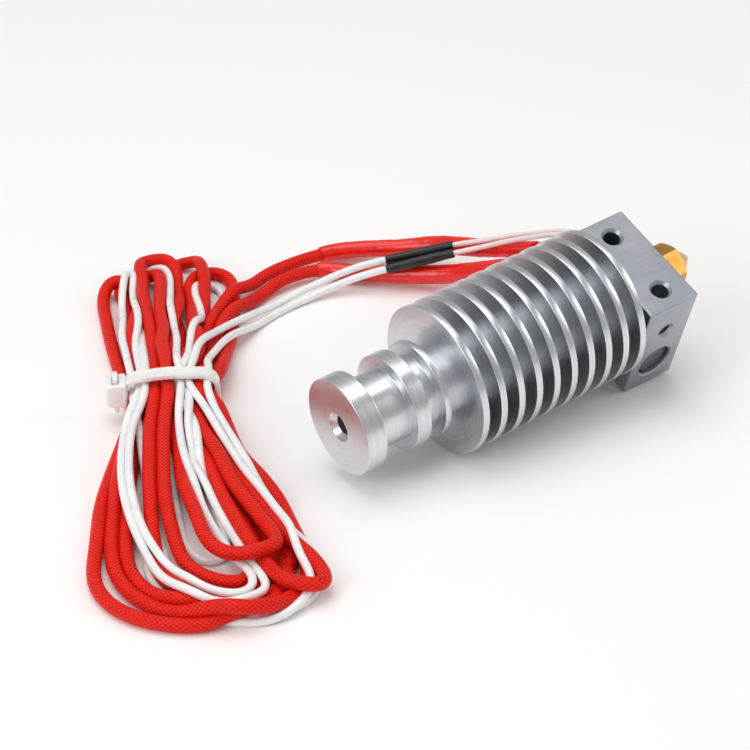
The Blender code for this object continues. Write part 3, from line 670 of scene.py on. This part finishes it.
def tube(line, radius, sides, wall=0.0):
    """Points, faces and (around, along) coordinates of a tube; radius is a number or one per point.

    With a wall it is an open sleeve; without one its ends are capped.
    """
    side, up = frames(line)
    radii = np.broadcast_to(np.asarray(radius, float), (len(line),))
    along = lengths(line)
    angle = np.arange(sides) * math.tau / sides
    ring = np.cos(angle)[:, None, None] * side[None] + np.sin(angle)[:, None, None] * up[None]
    shells = [radii] if not wall else [radii, radii - wall]
    points, rings = [], []
    for number, r in enumerate(shells):
        shell = (line[None] + ring * r[None, :, None]).transpose(1, 0, 2).reshape(-1, 3)
        base = number * len(line) * sides
        points.append(shell)
        rings += [(base + i * sides, along[i]) for i in range(len(line))[::-1 if number else 1]]
    if wall:
        rings.append(rings[0])
    faces, uvs = [], []
    for (a, s), (b, t) in zip(rings, rings[1:]):
        for k in range(sides):
            n = (k + 1) % sides
            faces.append((a + k, a + n, b + n, b + k))
            uvs += [(k / sides, s), ((k + 1) / sides, s), ((k + 1) / sides, t), (k / sides, t)]
    if not wall:
        for base, s, order in ((0, along[0], -1), ((len(line) - 1) * sides, along[-1], 1)):
            cap = list(range(base, base + sides))[::order]
            faces.append(tuple(cap))
            uvs += [(((c - base) / sides), s) for c in cap]
    return np.concatenate(points), faces, uvs


ROUTES_AT = Matrix.Translation((FRONT[0] * MM, FRONT[1] * MM, 0))


def tube_piece(name, line, radius, look, slot, replaces=(), **shape):
    points, faces, uvs = tube(line, radius, **shape)
    return mesh_piece(name, points, faces, look, slot, replaces, ROUTES_AT, uvs, smooth=50)


def waist_point(across, through, high):
    x, y = WAIST + ACROSS * across + THROUGH * through
    return np.array((x, y, high))


def turn_points(name, enter, leave):
    """One turn of the hank: out from the waist, round an elliptical tip, and back."""
    end, tip, reach, wide, bow, opens, hand, heights = TURNS[name]
    cap = 0.47 * wide
    shaft = reach - cap
    t = np.linspace(CLEAR_OF_TIE / shaft, 1, LEG_POINTS)
    half = wide / 2 * (1 - (1 - t) ** opens)
    a = np.linspace(0, math.pi, TIP_POINTS + 2)[1:-1]
    outline = [*zip(t * shaft, half), *zip(shaft + cap * np.sin(a), wide / 2 * np.cos(a)),
               *zip((t * shaft)[::-1], -half[::-1])]
    found = []
    for k, (along, aside) in enumerate(outline):
        done = k / (len(outline) - 1)
        out = along / reach
        start = enter[0] + (leave[0] - enter[0]) * done
        across = start * (1 - out) + tip * out + bow * 4 * out * (1 - out) + hand * aside
        high = np.interp(done, (0, 0.25, 0.5, 0.75, 1), (enter[1], *heights, leave[1]))
        found.append(waist_point(across, end * along, high))
    return found


def through_points(points, per_span=12):
    """A centripetal Catmull-Rom curve through unevenly spaced points."""
    p = [2 * points[0] - points[1], *points, 2 * points[-1] - points[-2]]
    found = [points[0]]
    for a, b, c, d in zip(p, p[1:], p[2:], p[3:]):
        t1 = np.linalg.norm(b - a) ** 0.5
        t2 = t1 + np.linalg.norm(c - b) ** 0.5
        t3 = t2 + np.linalg.norm(d - c) ** 0.5
        for t in np.linspace(t1, t2, per_span + 1)[1:]:
            ab = a * (t1 - t) / t1 + b * t / t1
            bc = b * (t2 - t) / (t2 - t1) + c * (t - t1) / (t2 - t1)
            cd = c * (t3 - t) / (t3 - t2) + d * (t - t2) / (t3 - t2)
            abc = ab * (t2 - t) / t2 + bc * t / t2
            bcd = bc * (t3 - t) / (t3 - t1) + cd * (t - t1) / (t3 - t1)
            found.append(abc * (t2 - t) / (t2 - t1) + bcd * (t - t1) / (t2 - t1))
    return np.array(found)


def wound(name, lead_in):
    """A lead's whole line: in along its route, round its turns and out to its tucked end."""
    plan = WINDING[name]
    points = [np.array(q, float) for q in lead_in]
    for i, item in enumerate(plan):
        if isinstance(item, str):
            points += turn_points(item, plan[i - 1], plan[i + 1])
        else:
            points.append(waist_point(item[0], 0, item[1]))
    points += [waist_point(*place) for place in ENDS[name]]
    return through_points(points)


def near_pairs(places, radii, lead):
    """Pairs of points on different stretches of lead that touch or nearly touch."""
    found = []
    close = places.astype(np.float32)
    for a in range(0, len(places), 512):
        gap = ((close[a:a + 512, None] - close[None]) ** 2).sum(2)
        i, j = np.nonzero(gap < (radii[a:a + 512, None] + radii[None] + PAIR_ROOM) ** 2)
        i += a
        keep = (i < j) & ~((lead[i] == lead[j]) & (j - i < 6))
        found.append(np.stack((i[keep], j[keep])))
    return np.concatenate(found, 1)


def settle(lines, radii, rounds):
    """Lets the wound leads come to rest: stiff against bends, solid to each other, in the strap."""
    lines = [evenly(line, LINE_STEP) for line in lines]
    counts = [len(line) for line in lines]
    starts = np.cumsum([0] + counts)
    p = np.concatenate(lines)
    r = np.repeat(radii, counts)
    lead = np.repeat(np.arange(len(counts)), counts)
    home = p.copy()
    free = np.ones(len(p), bool)
    held = np.zeros(len(p), bool)
    for a, b in zip(starts, starts[1:]):
        free[a:a + 2] = free[b - 2:b] = False
        held[a:a + int(np.argmax(p[a:b, 0] < HELD_FROM_X))] = True
    for step in range(rounds):
        if step % PAIRS_EVERY == 0:
            i_all, j_all = near_pairs(p, r, lead)
        left = 1 - step / rounds
        p[:, :2] += HOME_PULL * (home - p)[:, :2]
        p[:, 2] += (LIFT_PULL * left + LIFT_LEFT) * (home - p)[:, 2] - SINKING
        for _ in range(BEND_PASSES):
            bend = np.zeros_like(p)
            bend[1:-1] = p[2:] - 2 * p[1:-1] + p[:-2]
            change = np.zeros_like(p)
            change[1:-1] = bend[2:] - 2 * bend[1:-1] + bend[:-2]
            p[free] -= BEND_SHARE * change[free]
        for _ in range(PUSH_PASSES):
            apart = p[i_all] - p[j_all]
            distance = np.linalg.norm(apart, axis=1) + 1e-9
            overlap = r[i_all] + r[j_all] - distance
            hit = overlap > 0
            i, j = i_all[hit], j_all[hit]
            push = apart[hit] / distance[hit, None] * (overlap[hit] / 2)[:, None]
            total = np.stack([np.bincount(i, push[:, k], len(p)) - np.bincount(j, push[:, k], len(p))
                              for k in range(3)], 1)
            touches = np.bincount(i, minlength=len(p)) + np.bincount(j, minlength=len(p))
            p += total / np.maximum(touches, 1)[:, None] ** CROWDING
            away = p[:, :2] - WAIST
            in_strap = np.abs(away @ THROUGH) < STRAP_REACH
            across = away @ ACROSS
            inside = np.clip(across, r - BUNDLE[0] / 2, BUNDLE[0] / 2 - r)
            p[in_strap, :2] += ((inside - across)[:, None] * ACROSS)[in_strap]
            low, high = STRAP_FLOOR + r, STRAP_FLOOR + BUNDLE[1] - r
            p[in_strap, 2] = np.clip(p[in_strap, 2], low[in_strap], high[in_strap])
            p[:, 2] = np.maximum(p[:, 2], r)
            p[held] = home[held]
    return [p[a:b] for a, b in zip(starts, starts[1:])]


def sleeve_radii(line, radius, splice_long, lump):
    """A shrink sleeve's radii: drawn in at its ends, swollen over the splice, slightly uneven."""
    s = lengths(line)
    swell = lump * np.exp(-((s - s[-1] * 0.55) / (splice_long * 0.6)) ** 4)
    ends = 0.10 * radius * (np.exp(-s / 1.6) + np.exp(-(s[-1] - s) / 1.6))
    return radius - lump + swell - ends + 0.02 * np.sin(s * 1.7) + 0.015 * np.sin(s * 3.9 + 1.0)


# What differs between the two kinds of lead: its long stretch from the hank, the sleeve over its
# splice, and the near lead from there into its hole. A look is followed by its slot and its CAD
# node's name without the a or b.
RED = SimpleNamespace(
    radius=1.1, far=(RED_BRAID, "red_braid", "heater_lead_red_"), step=0.5,
    sleeve=(RED_SHRINK, "red_shrink", "red_sleeve_"), sleeve_radii=(1.7, 14, 0.18), sleeve_sides=28,
    wall=0.35, near=(FINE_BRAID, "red_braid", "cartridge_lead_"), near_radius=0.9, near_sides=20,
    joint_in=14.0, splice_long=9.0, splice="heater_splice_",
    aside=1.25, mouth_y=(16.0, CORE_Y[1] + BUTT_GAP), mouth_z=CARTRIDGE_Z)
WHITE = SimpleNamespace(
    radius=0.65, far=(WHITE_SKIN, "white_insulation", "sensor_lead_white_"), step=0.4,
    sleeve=(BLACK_SHRINK, "black_shrink", "black_sleeve_"), sleeve_radii=(0.9, 5, 0.06), sleeve_sides=24,
    wall=0.16, near=(PALE_SKIN, "pale_insulation", "thermistor_lead_"), near_radius=0.45, near_sides=16,
    joint_in=4.0, splice_long=5.0, splice="sensor_splice_",
    aside=0.55, mouth_y=(11.8, BEAD_Y + BEAD_HALF + BUTT_GAP), mouth_z=SENSOR_Z)
# Each lead's kind, its side of the hole, and its route's stretches: lead, sleeve, bend to the block
ROUTES = {
    "red_a": (RED, 1, RED_A, SLEEVE_A, []),
    "red_b": (RED, -1, RED_B, SLEEVE_B, []),
    "white_a": (WHITE, 1, WHITE_A, BLACK_A, BEND_A),
    "white_b": (WHITE, -1, WHITE_B, BLACK_B, BEND_B),
}


def make_leads():
    """The four leads with their sleeves, the short leads to the block, and their bare ends."""
    ways, wires = {}, {}
    for name, (kind, side, lead, over, bend) in ROUTES.items():
        mouth = [tuple(ON_TABLE @ Vector((BLOCK_MID + side * kind.aside, y, kind.mouth_z)))
                 for y in kind.mouth_y]
        way, marks = smooth_line([*lead, *over, *bend, *mouth])
        sleeved = (marks[len(lead)], marks[len(lead) + len(over) - 1])
        joint = sleeved[0] + kind.joint_in
        ways[name] = (way, sleeved, joint, marks[-1])
        wires[name] = wound(name, evenly(way, 3.0, 0.0, joint)[::-1])
    radii = [ROUTES[name][0].radius for name in wires]
    settled = settle(wires.values(), radii, SETTLE_ROUNDS)
    for name, line in zip(wires, settled):
        make_lead(name, line, *ways[name])


def make_lead(name, line, way, sleeved, joint, end):
    kind, tag = ROUTES[name][0], name[-1]
    for _ in range(SMOOTH_PASSES):
        line[1:-1] = (line[:-2] + 2 * line[1:-1] + line[2:]) / 4
    fine = evenly(through_points(list(line), 3), 0.5)
    look, slot, node = kind.far
    cord = tube_piece("cord_" + name, fine, kind.radius, look, slot, (node + tag, "lead_hank"), sides=22)
    ahead = fine[-1] - fine[-4]
    ahead /= np.linalg.norm(ahead)
    tip_line = np.array([fine[-1] + ahead * s for s in np.linspace(-0.5, TIP_LONG, 10)])
    tip_line[:, 2] = kind.radius
    tip = tube_piece("bare_end_" + name, tip_line, kind.radius * TIP_THIN * np.linspace(1, 0.93, 10), COPPER,
                     "tinned_copper", sides=16)
    over = evenly(way, kind.step, *sleeved)
    look, slot, node = kind.sleeve
    sleeve = tube_piece("shrink_" + name, over, sleeve_radii(over, *kind.sleeve_radii), look, slot,
                        (node + tag,), sides=kind.sleeve_sides, wall=kind.wall)
    near_line = evenly(way, kind.step, joint + kind.splice_long + BUTT_GAP, end)
    look, slot, node = kind.near
    near = tube_piece("near_lead_" + name, near_line, kind.near_radius, look, slot, (node + tag,),
                      sides=kind.near_sides)
    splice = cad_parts[kind.splice + tag]
    splice.material_slots[0].material = COPPER


# -------- the tie

def strap_loop():
    """The strap's middle line, across and up from the bundle's middle, in steps of about a tooth."""
    wide, high = [side / 2 + STRAP_THICK / 2 - STRAP_CORNER for side in BUNDLE]
    outline = []
    for quarter, (sx, sy) in enumerate(((1, 1), (-1, 1), (-1, -1), (1, -1))):
        for k in range(9):
            a = math.radians(90 * (quarter + k / 8))
            outline.append((sx * wide + STRAP_CORNER * math.cos(a), sy * high + STRAP_CORNER * math.sin(a)))
    loop = []
    for (u, v), (u2, v2) in zip(outline, outline[1:] + outline[:1]):
        steps = max(1, int(math.hypot(u2 - u, v2 - v) / TOOTH_PITCH))
        loop += [(u + (u2 - u) * k / steps, v + (v2 - v) * k / steps) for k in range(steps)]
    return loop


def nylon_piece(name, points, faces, replaces=("cable_tie",)):
    return mesh_piece(name, points, faces, NYLON, "natural_nylon", replaces, ROUTES_AT, smooth=35)


def make_strap(middle):
    """The strap with rounded edges, teeth on its inner side, and a bulge over the bundle."""
    section = [(-1, -0.6), (-0.9, -1), (-0.45, -1), (0, -1), (0.45, -1), (0.9, -1), (1, -0.6), (1, 0.6),
               (0.9, 1), (0.45, 0.86), (0, 0.8), (-0.45, 0.86), (-0.9, 1), (-1, 0.6)]
    loop = strap_loop()
    points, faces = [], []
    count, ring = len(loop), len(section)
    for i, (u, v) in enumerate(loop):
        before, after = loop[i - 1], loop[(i + 1) % count]
        along = np.array((after[0] - before[0], after[1] - before[1]))
        along /= np.linalg.norm(along)
        out = np.array((along[1], -along[0]))
        bulge = STRAP_BULGE * math.exp(-(u / BULGE_REACH) ** 2) if v > 0 else 0.0
        tooth = TOOTH_DEPTH if i % 2 else 0.0
        for across, thick in section:
            depth = thick * STRAP_THICK / 2 - (tooth if thick < -0.9 else 0.0)
            at = np.array((u, v)) + out * depth + np.array((0, bulge))
            points.append(waist_point(at[0], across * STRAP_WIDE / 2, middle + at[1]))
        j = (i + 1) % count
        for k in range(ring):
            n = (k + 1) % ring
            faces.append((i * ring + k, i * ring + n, j * ring + n, j * ring + k))
    nylon_piece("tie_strap", points, faces)


def make_tie():
    """A strap round the waist, through a ratchet head, and its cut tail."""
    middle = STRAP_FLOOR + BUNDLE[1] / 2
    make_strap(middle)
    turn = Matrix.Rotation(WAIST_TURN, 3, "Z")
    across = -(BUNDLE[0] / 2 + HEAD_GAP + TIE_HEAD[0] / 2)
    spot = Vector((*(WAIST + ACROSS * across), middle + HEAD_LIFT))
    points, faces = rounded_box(TIE_HEAD, 0.5, 0.6, taper=0.9)
    head = nylon_piece("tie_head", moved([p.xzy for p in points], turn, spot), faces)
    points, faces = sharp_box((-0.55, 0.55), (-1.45, 1.45), (-4, 4))
    cutter = helper(moved(points, turn, spot), faces)
    cutter.data.transform(ROUTES_AT)
    combine(head, [("DIFFERENCE", cutter)])
    dress(head, NYLON, "natural_nylon")
    points, faces = sharp_box((-0.42, 0.42), (-1.25, 1.25), (-3.4, 3.0))
    tail = nylon_piece("tie_tail", moved(points, turn, spot), faces, ())
    modify(tail, "BEVEL", width=0.15 * MM, segments=3)


# -------- the hot end

def thread(start, end, radius, pitch, depth):
    """Profile points of a thread's outline, one full crest for each turn."""
    turns = int((end - start) / pitch)
    step = (end - start) / turns
    found = []
    for k in range(turns):
        x = start + k * step
        found += [(x + step * 0.12, radius - depth), (x + step * 0.45, radius), (x + step * 0.6, radius),
                  (x + step * 0.95, radius - depth)]
    return found


def make_heat_sink():
    soft, crisp = 0.14, 0.06
    profile = [(BORE_MOUTH_DEPTH, BORE_R, crisp), (0.0, BORE_MOUTH_R, crisp), (0.0, COLLAR_R, soft),
               (COLLAR_END, COLLAR_R, soft), (COLLAR_END, GROOVE_R, crisp), (GROOVE_END, GROOVE_R, crisp),
               (GROOVE_END, COLLAR_R, soft), (COLLAR2_END, COLLAR_R, soft), (COLLAR2_END, NECK_R, crisp),
               (SMALL_FIN[0], NECK_R, crisp), (SMALL_FIN[0], COLLAR_R, soft),
               (SMALL_FIN[1], COLLAR_R, soft), (SMALL_FIN[1], NECK_R, crisp)]
    root = NECK_R
    for k in range(FIN_COUNT):
        start = FIN_FIRST + k * FIN_PITCH
        profile += [(start, root, crisp), (start, FIN_R, soft), (start + FIN_THICK, FIN_R, soft)]
        if k < FIN_COUNT - 1:
            profile.append((start + FIN_THICK, CORE_R, crisp))
        root = CORE_R
    profile += [(SINK_END, SOCKET_R, crisp), (SOCKET_START, SOCKET_R), (SOCKET_START, BORE_R)]
    turned("heat_sink", profile, ALUMINIUM, "turned_aluminium", ("heatsink",), sides=160)


def make_heat_break():
    near, far = BREAK_NECK
    profile = [(BREAK_START, 1.0), (BREAK_START, 3.5, 0.2), (near, 3.5, 0.2), (near, 1.45, 0.1),
               (far, 1.45, 0.1), (far, THREAD_R - 0.3),
               *thread(far + 0.2, BREAK_END, THREAD_R, THREAD_PITCH, 0.4),
               (BREAK_END, THREAD_R - 0.4), (BREAK_END, 1.0)]
    turned("heat_break_tube", profile, STEEL, "stainless_steel", ("heat_break",), sides=96)


def drill(place, turn, radius, depth, chamfer, sides=72):
    """A cutter for a hole that leaves the part at its place, along the turned +X."""
    profile = [(-depth, 0), (-depth, radius), (-chamfer, radius), (0.0, radius + chamfer),
               (1.5, radius + chamfer), (1.5, 0)]
    points, faces = lathe(profile, sides)
    return helper(moved(points, turn, place), faces)


def make_block():
    spans = (BLOCK_X, BLOCK_Y, BLOCK_Z)
    points, faces = rounded_box([b - a for a, b in spans], 0.32, 0.5)
    middle = Vector([(a + b) / 2 for a, b in spans])
    block = mesh_piece("block_body", [p + middle for p in points], faces, MILLED, "milled_aluminium",
                       ("heater_block",))
    long_y = BLOCK_Y[1] - BLOCK_Y[0]
    holes = [((BLOCK_X[1], 0, 0), TO_X, 3.0, 11, 0.25, 96),
             ((BLOCK_MID, BLOCK_Y[1], CARTRIDGE_Z), TO_Y, 3.1, long_y + 2, 0.25, 96),
             ((BLOCK_MID, BLOCK_Y[0], CARTRIDGE_Z), TO_MINUS_Y, 3.1, 2, 0.25, 96),
             ((BLOCK_MID, BLOCK_Y[1], SENSOR_Z), TO_Y, 1.15, 5, 0.25),
             ((BLOCK_MID, BLOCK_Y[0], SENSOR_Z), TO_MINUS_Y, 1.15, 5, 0.5),
             ((BLOCK_MID, CLAMP_Y, BLOCK_Z[0]), TO_MINUS_Z, 1.4, 3.5, 0.2)]
    holes += [((BLOCK_MID, y, BLOCK_Z[1]), TO_Z, 1.4, 5.6, 0.45) for y in SCREW_HOLES_Y]
    combine(block, [("DIFFERENCE", drill(*hole)) for hole in holes])
    dress(block, MILLED, "milled_aluminium", place=HOT_END, smooth=30)
    weigh_flats(block)


def make_nozzle():
    start, end = HEX
    corner = HEX_FLATS / math.sqrt(3)
    envelope = [(start, 0), (start, HEX_FLATS / 2), (start + 0.35, corner + 0.15), (end - 0.5, corner + 0.15),
                (end, HEX_FLATS / 2 - 0.05), (end, 0)]
    shank = [(NOZZLE_START, 0), (NOZZLE_START, THREAD_R - 0.45),
             *thread(NOZZLE_START + 0.3, start - 1.0, THREAD_R, THREAD_PITCH, THREAD_DEPTH),
             (start - 0.9, 2.45, 0.1), (start + 0.4, 2.45), (start + 0.6, 3.0), (end - 0.2, 3.0),
             (end, 3.0, 0.1), (end + 0.35, 2.9, 0.15), (NOZZLE_TIP, NOZZLE_TIP_R, 0.06), (NOZZLE_TIP, 0)]
    bore = [(NOZZLE_START - 1, 0), (NOZZLE_START - 1, 1.0), (NOZZLE_TIP - 2.2, 1.0), (NOZZLE_TIP - 0.8, 0.2),
            (NOZZLE_TIP + 1, 0.2), (NOZZLE_TIP + 1, 0)]
    body = mesh_piece("nozzle_body", *lathe(shank, 96), BRASS, "brass", ("nozzle",), body="nozzle")
    hexed = helper(*hex_solid([(start, corner), (end, corner)], 30))
    combine(hexed, [("INTERSECT", helper(*lathe(envelope, 96)))])
    combine(body, [("UNION", hexed), ("DIFFERENCE", helper(*lathe(bore, 48)))])
    dress(body, BRASS, "brass", place=HOT_END, body="nozzle", smooth=28)
    modify(body, "BEVEL", width=0.06 * MM, segments=2, limit_method="ANGLE", angle_limit=math.radians(40),
           use_clamp_overlap=True)
    weigh_flats(body)


def stood(turn, place):
    """Where a piece drawn along +X stands in the hot end."""
    return HOT_END @ Matrix.Translation(Vector(place) * MM) @ turn.to_4x4()


def make_cartridge():
    near, far = SHEATH_Y
    inner = SHEATH_R - SHEATH_WALL
    place = stood(TO_Y, (BLOCK_MID, 0, CARTRIDGE_Z))
    turned("cartridge_can", [(near, 0), (near, SHEATH_R, 0.3), (far, SHEATH_R, 0.12), (far, inner, 0.12),
                             (CORE_Y[0] - 0.2, inner), (CORE_Y[0] - 0.2, 0)], SHEATH_STEEL, "cartridge_steel",
           ("cartridge_sheath",), place, sides=96)
    core = inner - 0.12
    turned("cartridge_insulator", [(CORE_Y[0], 0), (CORE_Y[0], core, 0.1), (CORE_Y[1], core, 0.25),
                                   (CORE_Y[1], 0)], CERAMIC, "ceramic", ("cartridge_core",), place, sides=72)


def make_bead():
    outline = [(-BEAD_HALF, 0), (-1.1, 0.36, 0.2), (-0.75, 0.66, 0.2), (0.0, 0.8, 0.4), (0.75, 0.66, 0.3),
               (1.15, 0.40, 0.2), (BEAD_HALF, 0.28, 0.1), (BEAD_HALF, 0)]
    turned("sensor_bead", outline, GLASS, "sensor_glass", ("thermistor_bead",),
           stood(TO_Y, (BLOCK_MID, BEAD_Y, SENSOR_Z)), sides=48, steps=5)


def make_grub(name, node, turn, place):
    """A grub screw drawn from its pointed end, with a hexagon socket in its outer end."""
    profile = [(0.0, 0), (0.0, GRUB_R - 0.4, 0.1), (0.3, GRUB_R - 0.1),
               *thread(0.35, GRUB_LONG - 0.25, GRUB_R, 0.45, 0.22),
               (GRUB_LONG - 0.2, GRUB_R - 0.1), (GRUB_LONG, GRUB_R - 0.25, 0.06), (GRUB_LONG, 0)]
    screw = mesh_piece(name, *lathe(profile, 64), BLACK_STEEL, "black_steel", (node,), body=node)
    corner = GRUB_FLATS / math.sqrt(3)
    socket = [(GRUB_LONG - 1.2, corner), (GRUB_LONG - 0.12, corner), (GRUB_LONG + 0.6, corner + 0.7)]
    combine(screw, [("DIFFERENCE", helper(*hex_solid(socket)))])
    dress(screw, BLACK_STEEL, "black_steel", place=stood(turn, place), body=node, smooth=35)


def make_screws():
    make_grub("sensor_clamp_screw", "sensor_grub_screw", TO_Z, (BLOCK_MID, SCREW_HOLES_Y[0], SENSOR_GRUB_Z))
    make_grub("cartridge_clamp_screw", "cartridge_grub_screw", TO_MINUS_Z,
              (BLOCK_MID, CLAMP_Y, CLAMP_GRUB_Z + GRUB_LONG))


def make_floor():
    half = 2.5
    mesh = bpy.data.meshes.new("sweep")
    corners = [(-half, -half, 0), (half, -half, 0), (half, half, 0), (-half, half, 0)]
    mesh.from_pydata(corners, [], [(0, 1, 2, 3)])
    floor = bpy.data.objects.new("sweep", mesh)
    mesh.materials.append(FLOOR)
    show(floor)


set_camera()
make_leads()
make_tie()
make_heat_sink()
make_heat_break()
make_block()
make_nozzle()
make_cartridge()
make_bead()
make_screws()
make_floor()
set_light()
